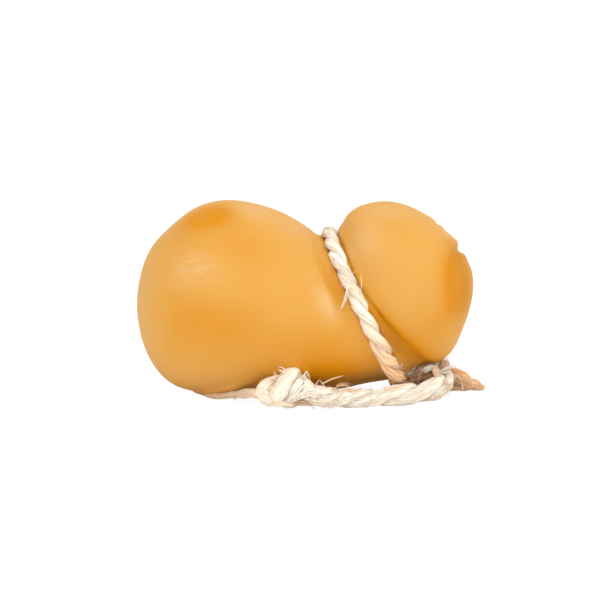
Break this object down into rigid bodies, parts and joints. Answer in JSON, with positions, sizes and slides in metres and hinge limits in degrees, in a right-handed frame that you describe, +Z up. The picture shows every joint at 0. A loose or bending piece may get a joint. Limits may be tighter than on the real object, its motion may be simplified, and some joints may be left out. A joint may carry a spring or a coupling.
{
  "type": "smoked scamorza",
  "caption": "Gourd-shaped smoked cheese lying on its side, tied round the waist with a twisted rope that ends in a knot.",
  "frame": {"origin": "on the surface that the cheese rests on, under the middle of the box round the cheese, its tie and the short rope end", "axes": "+X along the cheese from its round base to its small head, +Z up, -Y toward the side that the rope's long end lies on"},
  "size_m": [0.129, 0.078, 0.0713],
  "materials": {
    "smoked_rind": "waxy smoked rind",
    "pale_rope": "pale plant fibre",
    "shaded_rope": "plant fibre stained by the rind",
    "browned_rope": "plant fibre browned by smoke"
  },
  "bodies": {
    "root": {"scamorza": "smoked_rind", "waist_tie": "pale_rope", "tie_knot": "shaded_rope", "short_end": "browned_rope", "long_end": "pale_rope", "end_knot": "pale_rope", "frayed_end": "pale_rope"}
  },
  "joints": []
}
